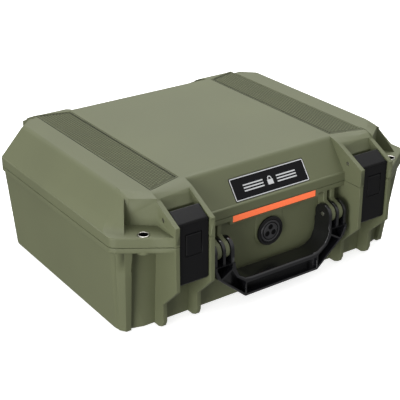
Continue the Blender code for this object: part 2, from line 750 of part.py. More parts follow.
def main():
    clear_scene()
    green = material("olive_plastic", GREEN, 0.55)
    black = material("black_plastic", BLACK, 0.35)
    glossy = material("handle_plastic", BLACK, 0.22)
    orange = material("orange_plastic", (0.80, 0.16, 0.05), 0.5)
    plate = material("plate_black", (0.02, 0.02, 0.022), 0.4)
    rubber = material("seal_rubber", (0.02, 0.02, 0.02), 0.8)
    steel = material("steel", (0.55, 0.54, 0.52), 0.28, 1.0)
    spring_steel = material("spring_steel", (0.45, 0.45, 0.46), 0.35, 1.0)
    foam = material("grey_foam", FOAM_GREY, 0.95)
    white = material("vent_cloth", (0.6, 0.6, 0.58), 0.9)

    build_base(green)
    build_lid(green)
    build_foam(foam)
    gasket = ring_band(2.7, 6.7, (SPLIT_Z, 109.8))
    soften(gasket, 1.2, lambda p: p.z < SPLIT_Z + 0.01 or p.z > 109.79, 1)
    plain("lid_gasket", gasket, rubber, (0, *HINGE))
    plain("name_plate", plate_block(49.6, 12.8, -0.9, 0.4), plate, (0, *HINGE))
    strip = block((-56.2, 56.2), (-RIM_Y + 0.1, -145.8), (97.7, 105.3))
    plain("accent_strip", soften(strip, 0.8, lambda p: p.y < -148, 1), orange)
    build_handle(glossy)
    for side, word in ((-1, "left"), (1, "right")):
        build_latch(side, f"latch_{word}", black)
        build_button(side, f"latch_button_{word}", black)
        build_spring(side, f"button_spring_{word}", spring_steel)
    build_pins(steel)
    build_eyelets(steel)
    build_vent(black, rubber, white)


main()
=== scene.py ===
"""Looks of the hard pistol case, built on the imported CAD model.

Sizes are in millimetres in the case's own frame: X to its right, Y to its back, Z up.
"""

import math

import bmesh
import bpy
from mathutils import Matrix, Vector


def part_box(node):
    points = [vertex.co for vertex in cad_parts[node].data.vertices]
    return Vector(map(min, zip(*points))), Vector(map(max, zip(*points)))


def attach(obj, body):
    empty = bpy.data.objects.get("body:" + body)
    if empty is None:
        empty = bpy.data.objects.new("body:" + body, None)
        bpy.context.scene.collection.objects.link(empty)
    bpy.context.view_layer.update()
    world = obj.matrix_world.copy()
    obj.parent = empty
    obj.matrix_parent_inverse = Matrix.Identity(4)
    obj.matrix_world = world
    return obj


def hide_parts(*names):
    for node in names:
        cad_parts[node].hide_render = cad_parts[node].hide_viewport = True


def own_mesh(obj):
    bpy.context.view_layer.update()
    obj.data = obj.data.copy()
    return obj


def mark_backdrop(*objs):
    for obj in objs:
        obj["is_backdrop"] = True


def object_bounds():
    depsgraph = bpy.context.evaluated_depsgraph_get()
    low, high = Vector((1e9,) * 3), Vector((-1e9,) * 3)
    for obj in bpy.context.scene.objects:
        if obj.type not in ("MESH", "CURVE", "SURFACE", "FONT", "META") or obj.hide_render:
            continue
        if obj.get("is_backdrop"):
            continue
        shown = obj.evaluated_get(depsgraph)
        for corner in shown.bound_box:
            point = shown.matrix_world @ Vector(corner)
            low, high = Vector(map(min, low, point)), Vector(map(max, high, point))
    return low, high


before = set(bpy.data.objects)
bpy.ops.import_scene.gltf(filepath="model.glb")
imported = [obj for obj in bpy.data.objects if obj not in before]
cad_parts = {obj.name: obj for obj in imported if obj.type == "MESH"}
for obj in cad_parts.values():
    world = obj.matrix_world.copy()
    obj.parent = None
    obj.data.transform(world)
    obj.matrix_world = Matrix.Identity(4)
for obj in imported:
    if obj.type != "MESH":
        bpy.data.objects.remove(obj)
low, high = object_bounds()
CAD_BOX = [list(low), list(high)]

MM = 0.001
HEIGHT = 150.0
LATCH_X = 121.0
HINGE = (160.0, 108.0)
LATCH = (-152.0, 127.5)
BUTTON = (-168.3, 93.3)
HANDLE = (-151.0, 75.0)
EYELET = (165.5, -149.0)
VENT = (0.0, 68.7)
VENT_FACE = -138.3
LOBE_TURNS = (90, 210, 330)
LOBE_REACH = 4.9
SIDES = ((-1, "left"), (1, "right"))
# Planes through the holes, where flat faces are split before their edges are rounded.
SPLITS = (
    ("X", (0, -LATCH_X, LATCH_X, -EYELET[0], EYELET[0])),
    ("Y", (0,)),
    ("Z", (VENT[1], HANDLE[1], 102.9, HINGE[1] + 0.02, LATCH[1])),
)


def box_mm(node):
    """Lowest and highest corner of a CAD node, in millimetres."""
    return [Vector(corner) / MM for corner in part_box(node)]


# ---------------------------------------------------------------- materials


def surface(name, color, roughness, grain=0.0, grain_scale=900.0, variation=0.06, metallic=0.0, coat=0.0,
            gloss=0.5, glow=0.0):
    """Plastic, rubber, foam or metal with fine grain, slight colour drift and uneven roughness; a glow
    above 0 paints light into it as emission in its own colour.
    """
    made = bpy.data.materials.new(name)
    made.use_nodes = True
    nodes, links = made.node_tree.nodes, made.node_tree.links
    shader = nodes["Principled BSDF"]
    shader.inputs["Metallic"].default_value = metallic
    shader.inputs["Coat Weight"].default_value = coat
    shader.inputs["Coat Roughness"].default_value = 0.12
    shader.inputs["Specular IOR Level"].default_value = gloss
    shader.inputs["Emission Color"].default_value = (*color, 1)
    shader.inputs["Emission Strength"].default_value = glow
    coords = nodes.new("ShaderNodeTexCoord")
    drift = nodes.new("ShaderNodeTexNoise")
    drift.inputs["Scale"].default_value = 9.0
    drift.inputs["Detail"].default_value = 5.0
    links.new(coords.outputs["Object"], drift.inputs["Vector"])
    tint = nodes.new("ShaderNodeValToRGB")
    tint.color_ramp.elements[0].position = 0.3
    tint.color_ramp.elements[1].position = 0.7
    tint.color_ramp.elements[0].color = (*[c * (1 - variation) for c in color], 1)
    tint.color_ramp.elements[1].color = (*[c * (1 + variation) for c in color], 1)
    links.new(drift.outputs["Fac"], tint.inputs["Fac"])
    links.new(tint.outputs["Color"], shader.inputs["Base Color"])
    smear = nodes.new("ShaderNodeMapRange")
    smear.inputs["To Min"].default_value = roughness - 0.05
    smear.inputs["To Max"].default_value = roughness + 0.05
    links.new(drift.outputs["Fac"], smear.inputs["Value"])
    links.new(smear.outputs["Result"], shader.inputs["Roughness"])
    if grain:
        speck = nodes.new("ShaderNodeTexNoise")
        speck.inputs["Scale"].default_value = grain_scale
        speck.inputs["Detail"].default_value = 3.0
        links.new(coords.outputs["Object"], speck.inputs["Vector"])
        bump = nodes.new("ShaderNodeBump")
        bump.inputs["Strength"].default_value = grain
        bump.inputs["Distance"].default_value = 0.0002
        links.new(speck.outputs["Fac"], bump.inputs["Height"])
        links.new(bump.outputs["Normal"], shader.inputs["Normal"])
    return made


GREEN = surface("olive_plastic", (0.112, 0.122, 0.066), 0.56, grain=0.30, gloss=0.32)
TREAD = surface("tread_plastic", (0.110, 0.120, 0.066), 0.6, grain=0.30, gloss=0.25)
# Painted shade: the tread floor between the studs is a darker green than the plastic, for the shade that
# falls between them.
HOLLOW_SHADE = surface("tread_hollow_shade", (0.058, 0.063, 0.034), 0.7, grain=0.20, gloss=0.15)
# Painted shade: near-black paint for the tread's edge line and its row of dots, standing in for shade along
# the groove and in the rib gaps.
BORDER_SHADE = surface("tread_edge_shade", (0.010, 0.011, 0.007), 0.8, grain=0.10, gloss=0.1)
BLACK = surface("black_plastic", (0.0045, 0.0045, 0.005), 0.40, grain=0.16, gloss=0.20)
VENT_BLACK = surface("vent_plastic", (0.003, 0.003, 0.003), 0.22, grain=0.03, gloss=0.35)
VENT_GREY = surface("vent_cap_plastic", (0.024, 0.024, 0.026), 0.30, grain=0.05, gloss=0.7)
# Painted shade: near-black paint for the latch bend groove, the eyelet bores and the vent hollows, standing
# in for the shade inside them.
PAINTED_SHADE = surface("painted_recess_shade", (0.002, 0.002, 0.002), 0.8, grain=0.05, gloss=0.1)
GLOSSY = surface("handle_plastic", (0.005, 0.005, 0.006), 0.20, grain=0.05, coat=0.3)
# Painted glow: the orange strip gives off light of its own, though it is no lamp.
GLOWING_ORANGE = surface("orange_plastic", (0.95, 0.175, 0.060), 0.5, grain=0.2, glow=0.26)
PLATE = surface("plate_black", (0.004, 0.004, 0.005), 0.34, grain=0.05, gloss=0.12)
PRINT = surface("plate_silver", (0.62, 0.63, 0.64), 0.35, grain=0.05, metallic=0.4)
RUBBER = surface("seal_rubber", (0.02, 0.02, 0.02), 0.8, grain=0.3)
STEEL = surface("steel", (0.42, 0.41, 0.38), 0.34, grain=0.05, metallic=1.0)
FOAM = surface("grey_foam", (0.030, 0.030, 0.033), 0.95, grain=1.0, grain_scale=420.0)
CLOTH = surface("vent_cloth", (0.6, 0.6, 0.58), 0.9, grain=0.6, grain_scale=1500.0)


# ---------------------------------------------------------------- mesh tools


def shaded(obj, angle=32):
    """Smooth shading that keeps wide flat faces flat."""
    obj.data.shade_smooth()
    obj.data.set_sharp_from_angle(angle=math.radians(angle))
    if "flat" not in obj.modifiers:
        modifier = obj.modifiers.new("flat", "WEIGHTED_NORMAL")
        modifier.keep_sharp = True
        modifier.weight = 100


def new_object(name, bm, scale=MM):
    """Object from a bmesh in millimetres, or in metres with a scale of 1."""
    if scale != 1:
        bmesh.ops.scale(bm, vec=(scale, scale, scale), verts=bm.verts)
    mesh = bpy.data.meshes.new(name)
    bm.to_mesh(mesh)
    bm.free()
    obj = bpy.data.objects.new(name, mesh)
    bpy.context.collection.objects.link(obj)
    return obj


def piece(obj, paint, body, nodes=()):
    """Paints a new piece, hangs it on its body and lets it stand for CAD nodes."""
    obj.data.materials.clear()
    obj.data.materials.append(paint)
    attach(obj, body)
    if nodes:
        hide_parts(*nodes)


def place(axis, u, v, w):
    """Point at w along an axis and at (u, v) across it."""
    return {"X": (w, u, v), "Y": (u, w, v), "Z": (u, v, w)}[axis]


def circle(center, radius, sides):
    turns = [2 * math.pi * i / sides for i in range(sides)]
    return [(center[0] + radius * math.cos(a), center[1] + radius * math.sin(a)) for a in turns]


def loft(rings, capped=True):
    """Mesh through rings of matching points; uncapped, the last ring joins the first."""
    bm = bmesh.new()
    rows = [[bm.verts.new(point) for point in ring] for ring in rings]
    pairs = list(zip(rows, rows[1:])) if capped else list(zip(rows, rows[1:] + rows[:1]))
    for one, two in pairs:
        for i in range(len(one)):
            j = (i + 1) % len(one)
            bm.faces.new((one[i], one[j], two[j], two[i]))
    if capped:
        bm.faces.new(rows[0][::-1])
        bm.faces.new(rows[-1])
    bmesh.ops.recalc_face_normals(bm, faces=bm.faces)
    return bm


def prism(axis, outline, start, end):
    return loft([[place(axis, u, v, w) for u, v in outline] for w in (start, end)])


def block(x, y, z):
    return prism("Z", [(x[0], y[0]), (x[1], y[0]), (x[1], y[1]), (x[0], y[1])], *z)


def turned(axis, center, profile, sides=64):
    """Ring, or a solid if it starts and ends at radius 0, turned from (radius, height) pairs."""
    solid = profile[0][0] == 0
    body = profile[1:-1] if solid else profile
    rings = [[place(axis, u, v, w) for u, v in circle(center, r, sides)] for r, w in body]
    return loft(rings, capped=solid)


def join(target, *others):
    """Adds the faces of other bmeshes to the first one."""
    for other in others:
        mesh = bpy.data.meshes.new("part")
        other.to_mesh(mesh)
        other.free()
        target.from_mesh(mesh)
        bpy.data.meshes.remove(mesh)
    return target


def two_sided(bm):
    """Adds the mirror image across X."""
    copy = bmesh.ops.duplicate(bm, geom=bm.verts[:] + bm.edges[:] + bm.faces[:])["geom"]
    points = [item for item in copy if isinstance(item, bmesh.types.BMVert)]
    faces = [item for item in copy if isinstance(item, bmesh.types.BMFace)]
    bmesh.ops.scale(bm, vec=(-1, 1, 1), verts=points)
    bmesh.ops.reverse_faces(bm, faces=faces)
    return bm


def flat_faces(bm):
    """Joins up flat faces again, split where a plane crosses a hole so that no face rings a hole."""
    bmesh.ops.remove_doubles(bm, verts=bm.verts, dist=0.00002)
    for axis, spots in SPLITS:
        normal = place(axis, 0, 0, 1)
        for spot in spots:
            cut = bmesh.ops.bisect_plane(
                bm, geom=bm.verts[:] + bm.edges[:] + bm.faces[:], dist=0.000001,
                plane_co=place(axis, 0, 0, spot * MM), plane_no=normal,
            )["geom_cut"]
            for item in cut:
                if isinstance(item, bmesh.types.BMEdge):
                    item.seam = True
    bmesh.ops.dissolve_limit(
        bm, angle_limit=math.radians(0.06), verts=bm.verts, edges=bm.edges, delimit={"NORMAL", "SEAM"}
    )
    return bm


def from_cad(node):
    """Copy of a CAD node's mesh in metres."""
    bm = bmesh.new()
    bm.from_mesh(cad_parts[node].data)
    return flat_faces(bm)


def boolean(obj, tool, operation):
    """Cuts with, adds or keeps what lies inside a bmesh tool in millimetres."""
    bmesh.ops.triangulate(tool, faces=tool.faces)
    other = new_object("tool", tool)
    modifier = obj.modifiers.new("shape", "BOOLEAN")
    modifier.operation = operation
    modifier.solver = "EXACT"
    modifier.object = other
    shaped = bpy.data.meshes.new_from_object(obj.evaluated_get(bpy.context.evaluated_depsgraph_get()))
    obj.modifiers.clear()
    obj.data = shaped
    bpy.data.objects.remove(other)


MOST_TURNS = 5
LEAST_ROUNDING = 0.08


def reach_to(point, start, end):
    """Distance from a point to a straight line piece."""
    run = end - start
    share = (point - start).dot(run) / max(run.length_squared, 1e-18)
    return (start + run * min(max(share, 0), 1) - point).length


def room(edge, face, chosen):
    """Largest rounding that a face leaves for one of its edges, in metres."""
    a, b = (vert.co for vert in edge.verts)
    corners = {loop.vert: loop for loop in face.loops}
    most = 1.0
    for near in face.edges:
        if near is edge:
            continue
        share = 0.45 if near in chosen else 0.9
        common = [vert for vert in near.verts if vert in edge.verts]
        if not common:
            c, d = (vert.co for vert in near.verts)
            gap = min(reach_to(a, c, d), reach_to(b, c, d), reach_to(c, a, b), reach_to(d, a, b))
            most = min(most, share * gap)
        elif corners[common[0]].is_convex:
            turn = corners[common[0]].calc_angle()
            if near in chosen:
                most = min(most, share * min(edge.calc_length(), near.calc_length()) * math.tan(turn / 2))
            elif turn < math.radians(160):
                most = min(most, share * near.calc_length() * math.sin(turn))
    return most


def crossed(mesh):
    """Points of the faces that a rounding has folded over."""
    mesh.calc_loop_triangles()
    split = [0.0] * len(mesh.polygons)
    for triangle in mesh.loop_triangles:
        split[triangle.polygon_index] += triangle.area
    bad = [face for face in mesh.polygons if abs(split[face.index] - face.area) > 0.02 * face.area + 1e-8]
    return [mesh.vertices[i].co.copy() for face in bad for i in face.vertices]


def rounded(obj, radius, steps=2, angle=28):
    """Rounds every outward edge sharper than the angle, as far as its neighbours leave room."""
    bm = bmesh.new()
    bm.from_mesh(obj.data)
    flat_faces(bm)
    weight = bm.edges.layers.float.new("bevel_weight_edge")
    sharp = math.radians(angle)
    chosen = {
        edge for edge in bm.edges
        if len(edge.link_faces) == 2 and edge.is_convex and edge.calc_face_angle(0) >= sharp
    }
    full = radius * MM
    share = {}
    for edge in chosen:
        share[edge] = min(1.0, *(room(edge, face, chosen) / full for face in edge.link_faces))
    for turn in range(MOST_TURNS):
        for edge, value in share.items():
            edge[weight] = value if value * radius > LEAST_ROUNDING else 0.0
        bm.to_mesh(obj.data)
        modifier = obj.modifiers.new("round", "BEVEL")
        modifier.limit_method = "WEIGHT"
        modifier.offset_type = "OFFSET"
        modifier.width = full
        modifier.segments = steps
        modifier.use_clamp_overlap = False
        modifier.miter_outer = "MITER_ARC"
        made = bpy.data.meshes.new_from_object(obj.evaluated_get(bpy.context.evaluated_depsgraph_get()))
        obj.modifiers.remove(modifier)
        spots = crossed(made)
        if not spots or turn == MOST_TURNS - 1:
            break
        for edge in share:
            a, b = (vert.co for vert in edge.verts)
            if any(reach_to(spot, a, b) < 1.5 * full for spot in spots):
                share[edge] *= 0.5
        bpy.data.meshes.remove(made)
    obj.data = made
    bm.free()
    shaded(obj)


# ---------------------------------------------------------------- shells


def build_base():
    obj = new_object("case_base", from_cad("base_shell"), 1)
    rounded(obj, 0.8)
    piece(obj, GREEN, "base", ["base_shell"])


def build_lid():
    obj = new_object("case_lid", from_cad("lid_shell"), 1)
    rounded(obj, 0.8)
    piece(obj, GREEN, "lid", ["lid_shell"])


TREAD_IN, TREAD_OUT = 101.5, 142.4
TREAD_END_IN, TREAD_END_OUT = 115.2, 126.8
TREAD_FLOOR = HEIGHT - 0.6


def tread_end(x):
    """Half length of the tread strip at a distance from the case's middle."""
    share = (x - TREAD_IN) / (TREAD_OUT - TREAD_IN)
    return TREAD_END_IN + (TREAD_END_OUT - TREAD_END_IN) * share


def studs(pitch=4.0, half=1.45, height=0.42):
    """Staggered diamond studs over a tread, as far as its ends."""
    inner, outer = TREAD_IN + 5.6, TREAD_OUT - 3.0
    columns = 11
    step = (outer - inner) / (columns - 1)
    diamond = ((half, 0), (0, half), (-half, 0), (0, -half))
    bm = bmesh.new()
    for i in range(columns):
        x = inner + i * step
        reach = tread_end(x) - 5.0
        count = int(reach / pitch)
        for k in range(-count, count + (0 if i % 2 else 1)):
            y = (k + (0.5 if i % 2 else 0)) * pitch
            lower = [bm.verts.new((x + u, y + v, TREAD_FLOOR + 0.03)) for u, v in diamond]
            upper = [bm.verts.new((x + u * 0.6, y + v * 0.6, TREAD_FLOOR + height)) for u, v in diamond]
            bm.faces.new(upper)
            for n in range(4):
                m = (n + 1) % 4
                bm.faces.new((lower[n], lower[m], upper[m], upper[n]))
    return bm


def tread_line(inset, width, z):
    """Border that follows the outline of a tread."""
    rings = []
    for extra, rise in ((0.0, 0.02), (0.0, z), (width, z), (width, 0.02)):
        a = inset + extra
        rings.append([
            (x, way * (tread_end(x) - a), TREAD_FLOOR + rise)
            for x, way in ((TREAD_IN + a, -1), (TREAD_OUT - a, -1), (TREAD_OUT - a, 1), (TREAD_IN + a, 1))
        ])
    return loft(rings + rings[:1], capped=False)


def tread_shade_dots(pitch=3.6, size=0.95):
    """Small squares of painted shade in a row inside the tread's inner edge and its rear end, where the
    gaps between ribs lie in shadow.
    """
    inset, front_gap = 2.9, 4
    first = TREAD_IN + inset
    along = int(2 * (tread_end(first) - front_gap) / pitch)
    across = int((TREAD_OUT - TREAD_IN - 6) / pitch)
    spots = [(first, -tread_end(first) + front_gap + i * pitch) for i in range(along + 1)]
    for i in range(1, across + 1):
        x = first + i * pitch
        spots.append((x, tread_end(x) - inset))
    bm = bmesh.new()
    rise = (TREAD_FLOOR + 0.02, TREAD_FLOOR + 0.10)
    for x, y in spots:
        join(bm, block((x - size, x + size), (y - size, y + size), rise))
    return bm


def tread_panel():
    """Flat floor of a tread."""
    bm = bmesh.new()
    inner, outer, z = TREAD_IN + 0.3, TREAD_OUT - 0.3, TREAD_FLOOR + 0.04
    corners = ((inner, -1), (outer, -1), (outer, 1), (inner, 1))
    bm.faces.new([bm.verts.new((x, way * (tread_end(x) - 0.4), z)) for x, way in corners])
    return bm


def build_treads():
    """Studded shallow panels on the lid, with a floor, a border and a row of dots darkened with painted
    shade.
    """
    for name, bm, paint in (
        ("lid_tread", studs(), TREAD),
        # Painted shade: the floor is a darker green, and the border and dots are near black, for the shade
        # in the hollows and along the edge.
        ("lid_tread_floor", tread_panel(), HOLLOW_SHADE),
        ("lid_tread_border", join(tread_line(0.35, 0.6, 0.10), tread_shade_dots()), BORDER_SHADE),
        ("lid_tread_rim", tread_line(0.95, 0.7, 0.45), GREEN),
    ):
        obj = new_object(name, two_sided(bm))
        shaded(obj, 20)
        piece(obj, paint, "lid")


# ---------------------------------------------------------------- plate and strip


def plate_turn():
    """Frame of the name plate: x along it, y up the slope, z out of it, worked out from the CAD plate."""
    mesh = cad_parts["name_plate"].data
    biggest = max(mesh.polygons, key=lambda face: face.area if face.normal.y < 0 else 0)
    out = biggest.normal.normalized()
    across = Vector((1, 0, 0))
    rise = out.cross(across)
    corners = [mesh.vertices[i].co for i in biggest.vertices]
    level = out.dot(corners[0])
    lo, hi = (Vector(corner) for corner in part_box("name_plate"))
    middle = (lo + hi) / 2
    middle += out * (level - out.dot(middle))
    turn = Matrix((across, rise, out)).transposed().to_4x4()
    return Matrix.Translation(middle) @ turn


def frame_ring(half, width, radius, z, steps=6):
    """Flat border with rounded corners, in the plate's own frame and millimetres."""
    rings = []
    for inset, height in ((0, z[0]), (0.1, z[1]), (width - 0.1, z[1]), (width, z[0])):
        x, y, r = half[0] - inset, half[1] - inset, max(radius - inset, 0.4)
        ring = []
        for quarter, (u, v) in enumerate(((1, 1), (-1, 1), (-1, -1), (1, -1))):
            for i in range(steps + 1):
                a = math.radians(90 * quarter + 90 * i / steps)
                ring.append((u * (x - r) + r * math.cos(a), v * (y - r) + r * math.sin(a), height))
        rings.append(ring)
    return loft(rings, capped=False)


def build_plate():
    """Black plate with a silver border, and a plain padlock sign between two sets of bars."""
    obj = new_object("plate_panel", from_cad("name_plate"), 1)
    rounded(obj, 0.25)
    piece(obj, PLATE, "lid", ["name_plate"])
    border = frame_ring((49.2, 12.4), 1.1, 1.6, (-0.05, 0.10))
    sign = join(
        prism("Z", [(-3.6, -4.6), (3.6, -4.6), (3.6, 0.8), (-3.6, 0.8)], -0.05, 0.10),
        shackle_sign(),
    )
    bar_start, bar_end, half_bar = 9.0, 35.0, 0.7
    for side, _ in SIDES:
        for rise in (2.6, -0.6, -3.8):
            xs = sorted((side * bar_start, side * bar_end))
            join(sign, block(xs, (rise - half_bar, rise + half_bar), (-0.05, 0.08)))
    for name, bm in (("plate_border", border), ("plate_sign", sign)):
        made = new_object(name, bm)
        made.data.transform(plate_turn())
        piece(made, PRINT, "lid")


def shackle_sign(steps=12):
    """Bow of the padlock sign."""
    rings = []
    for radius, z in ((2.7, -0.05), (2.7, 0.10), (1.7, 0.10), (1.7, -0.05)):
        bow = [(radius, 0.8)]
        bow += [(radius * math.cos(math.pi * i / steps), 2.0 + radius * math.sin(math.pi * i / steps))
                for i in range(steps + 1)]
        bow.append((-radius, 0.8))
        rings.append([(x, y, z) for x, y in bow])
    bm = bmesh.new()
    rows = [[bm.verts.new(point) for point in ring] for ring in rings]
    for one, two in zip(rows, rows[1:] + rows[:1]):
        for i in range(len(one) - 1):
            bm.faces.new((one[i], one[i + 1], two[i + 1], two[i]))
    bm.faces.new([row[0] for row in rows])
    bm.faces.new([row[-1] for row in rows][::-1])
    bmesh.ops.recalc_face_normals(bm, faces=bm.faces)
    return bm


def build_strip():
    obj = new_object("orange_strip", from_cad("accent_strip"), 1)
    rounded(obj, 0.3)
    # The strip carries the painted glow of its orange paint.
    piece(obj, GLOWING_ORANGE, "base", ["accent_strip"])


# ---------------------------------------------------------------- latches


def build_latch(side, word):
    """Latch plate with a groove along its bend that holds a strip of painted shade, and a wider gap above
    and left of the button.
    """
    obj = new_object(f"latch_plate_{word}", from_cad(f"latch_{word}"), 1)
    span = (side * LATCH_X - 30, side * LATCH_X + 30)
    bend = prism("X", [(-170.0, 129.2), (-168.6, 127.3), (-171.9, 124.9), (-173.8, 127.2)], *span)
    boolean(obj, bend, "DIFFERENCE")
    lo, hi = box_mm(f"latch_button_{word}")
    gap, depth = 0.9, (-173, -170.3)
    for x_end, z_start in ((lo.x + 2, lo.z), (hi.x, hi.z - 2)):
        boolean(obj, block((lo.x - gap, x_end), depth, (z_start, hi.z + gap)), "DIFFERENCE")
    rounded(obj, 0.6)
    piece(obj, BLACK, f"{word}_latch", [f"latch_{word}"])
    # Painted shade: a near-black strip laid in the bend groove to darken it.
    xs = (side * LATCH_X - 17.0, side * LATCH_X + 17.0)
    groove = prism("X", [(-170.25, 127.6), (-169.4, 127.1), (-171.4, 125.6), (-172.2, 126.4)], *xs)
    made = new_object(f"latch_groove_shade_{word}", groove)
    piece(made, PAINTED_SHADE, f"{word}_latch")


def build_button(side, word):
    obj = new_object(f"push_button_{word}", from_cad(f"latch_button_{word}"), 1)
    rounded(obj, 0.4, steps=3)
    piece(obj, BLACK, f"{word}_button", [f"latch_button_{word}"])


def build_spring(side, word):
    """Return spring of the button: a round wire coil with its full number of turns."""
    low_corner, high_corner = box_mm(f"button_spring_{word}")
    middle = (low_corner + high_corner) / 2
    turns, per_turn, wire_sides, wire = 4, 28, 10, 0.4
    radius = (high_corner.x - low_corner.x) / 2 - 0.45
    start, end = low_corner.y + 0.45, high_corner.y - 0.45
    rings = []
    for i in range(turns * per_turn + 1):
        angle = 2 * math.pi * i / per_turn
        at = Vector((math.cos(angle) * radius, 0, math.sin(angle) * radius))
        at += Vector((middle.x, start + (end - start) * i / (turns * per_turn), middle.z))
        outward = Vector((math.cos(angle), 0, math.sin(angle)))
        ring = []
        for k in range(wire_sides):
            turn = 2 * math.pi * k / wire_sides
            ring.append(at + outward * wire * math.cos(turn) + Vector((0, wire * math.sin(turn), 0)))
        rings.append(ring)
    obj = new_object(f"coil_{word}", loft(rings))
    shaded(obj, 60)
    piece(obj, STEEL, f"{word}_latch", [f"button_spring_{word}"])
    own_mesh(obj)


# ---------------------------------------------------------------- pins and eyelets


def pin(axis_point, radius, start, end, sides=40):
    """Straight pin along X with rounded-off ends."""
    rim = 0.3
    profile = [(0, start), (radius - rim, start), (radius, start + rim), (radius, end - rim),
               (radius - rim, end), (0, end)]
    return turned("X", axis_point, profile, sides)


def build_pins(side, word):
    for node, at, body in (
        (f"hinge_pin_{word}", HINGE, "base"), (f"handle_pin_{word}", HANDLE, "base"),
        (f"latch_pin_{word}", LATCH, "lid"), (f"button_pin_{word}", BUTTON, f"{word}_latch"),
    ):
        lo, hi = box_mm(node)
        obj = new_object(f"round_{node}", pin(at, (hi.z - lo.z) / 2, lo.x, hi.x))
        shaded(obj, 50)
        piece(obj, STEEL, body, [node])


def build_eyelets(side, word):
    """Steel bushes that a padlock's shackle goes through, each darkened inside its bore with painted shade.
    """
    for owner in ("base", "lid"):
        node = f"{owner}_eyelet_{word}"
        lo, hi = box_mm(node)
        outer, bore, lip = 6.0, 4.65, 0.55
        profile = [
            (outer, lo.z + 0.2), (outer, hi.z - lip), (outer - 0.15, hi.z - 0.2), (outer - lip, hi.z),
            (bore + lip, hi.z), (bore + 0.15, hi.z - 0.2), (bore, hi.z - lip), (bore, lo.z + 0.2),
        ]
        start, end = lo.z + 0.3, hi.z - 0.7
        shade_lining = [(bore - 0.02, start), (bore - 0.02, end), (bore - 0.1, end), (bore - 0.1, start)]
        for name, outline, paint, slot, nodes in (
            (f"ring_{node}", profile, STEEL, "steel", [node]),
            # Painted shade: a near-black sleeve just inside the bore, to darken the hole.
            (f"shade_{node}", shade_lining, PAINTED_SHADE, "black_parts", []),
        ):
            obj = new_object(name, turned("Z", (side * EYELET[0], EYELET[1]), outline, 56))
            shaded(obj, 40)
            piece(obj, paint, owner, nodes)


# ---------------------------------------------------------------- handle


def build_handle():
    obj = new_object("grip_handle", from_cad("handle"), 1)
    rounded(obj, 0.8)
    piece(obj, GLOSSY, "grip", ["handle"])


# ---------------------------------------------------------------- vent


def lobes(radius, start, end):
    """Three short cylinders round the middle of the vent."""
    found = []
    for turn in LOBE_TURNS:
        a = math.radians(turn)
        at = (VENT[0] + LOBE_REACH * math.cos(a), VENT[1] + LOBE_REACH * math.sin(a))
        found.append(prism("Y", circle(at, radius, 40), start, end))
    return found


def vent_piece(name, bm, paint, nodes, angle=32):
    obj = new_object(name, bm)
    shaded(obj, angle)
    piece(obj, paint, "base", nodes)


def build_vent_body():
    """Housing with a rounded bezel, and the clamping nut behind the wall."""
    face = VENT_FACE
    body = [
        (3.0, face + 15.5), (8.5, face + 15.5), (8.5, face - 0.5), (10.4, face - 0.5), (10.4, face - 0.98),
        (13.0, face - 0.98), (13.0, face - 0.35), (16.2, face - 0.35), (16.8, face - 0.7),
        (17.0, face - 1.2), (17.0, face - 2.0), (16.7, face - 2.6), (16.1, face - 2.95),
        (15.3, face - 2.7), (14.6, face - 2.55), (13.6, face - 2.9), (13.2, face - 2.7),
        (13.0, face - 2.2), (13.0, face - 1.72), (3.0, face - 1.72),
    ]
    vent_piece("vent_housing", turned("Y", VENT, body, 96), VENT_BLACK, ["vent_body"], 30)
    nut = new_object("vent_lock_nut", from_cad("vent_nut"), 1)
    rounded(nut, 0.3)
    piece(nut, BLACK, "base", ["vent_nut"])


def build_vent_cap():
    """Front cap with a ring groove and three lobes, each darkened at its bottom by painted shade."""
    face = VENT_FACE
    cap = [
        (0, face - 2.22), (12.6, face - 2.22), (12.7, face - 2.5), (12.4, face - 2.95), (11.6, face - 3.05),
        (10.6, face - 2.5), (9.4, face - 2.5), (8.9, face - 3.05), (0, face - 3.05),
    ]
    made = new_object("vent_front_cap", turned("Y", VENT, cap, 96))
    for tool in lobes(3.3, face - 8, face - 2.35):
        boolean(made, tool, "DIFFERENCE")
    rounded(made, 0.15, angle=40)
    piece(made, VENT_GREY, "base", ["vent_cap"])
    # Painted shade: a near-black ring and discs on the bottoms of the groove and lobes, to darken the
    # hollows.
    ring = [(8.7, face - 2.4), (8.7, face - 2.62), (10.5, face - 2.62), (10.5, face - 2.4)]
    shade_floors = join(turned("Y", VENT, ring, 72), *lobes(3.15, face - 2.36, face - 2.25))
    vent_piece("vent_hollow_shade", shade_floors, PAINTED_SHADE, [])


def build_vent_inside():
    """Ring seal and breathing disc."""
    face = VENT_FACE
    seal = [(10.7, face - 0.9), (10.7, face - 0.1), (12.7, face - 0.1), (12.7, face - 0.9)]
    vent_piece("vent_ring_seal", turned("Y", VENT, seal, 72), RUBBER, ["vent_seal"])
    disc = [(0, face - 2.15), (11.5, face - 2.15), (11.5, face - 1.76), (0, face - 1.76)]
    vent_piece("vent_disc", turned("Y", VENT, disc, 72), CLOTH, ["vent_membrane"])


# ---------------------------------------------------------------- foam and gasket


def waves(x, y, pitch):
    """Rows of peaks and hollows, from -1 to 1."""
    return math.sin(math.pi * x / pitch) * math.sin(math.pi * y / pitch)


def edge_of(grid):
    """Items round the edge of a grid of rows, in order."""
    right = [row[-1] for row in grid[1:]]
    left = [row[0] for row in grid[-2:0:-1]]
    return grid[0] + right + grid[-1][-2::-1] + left


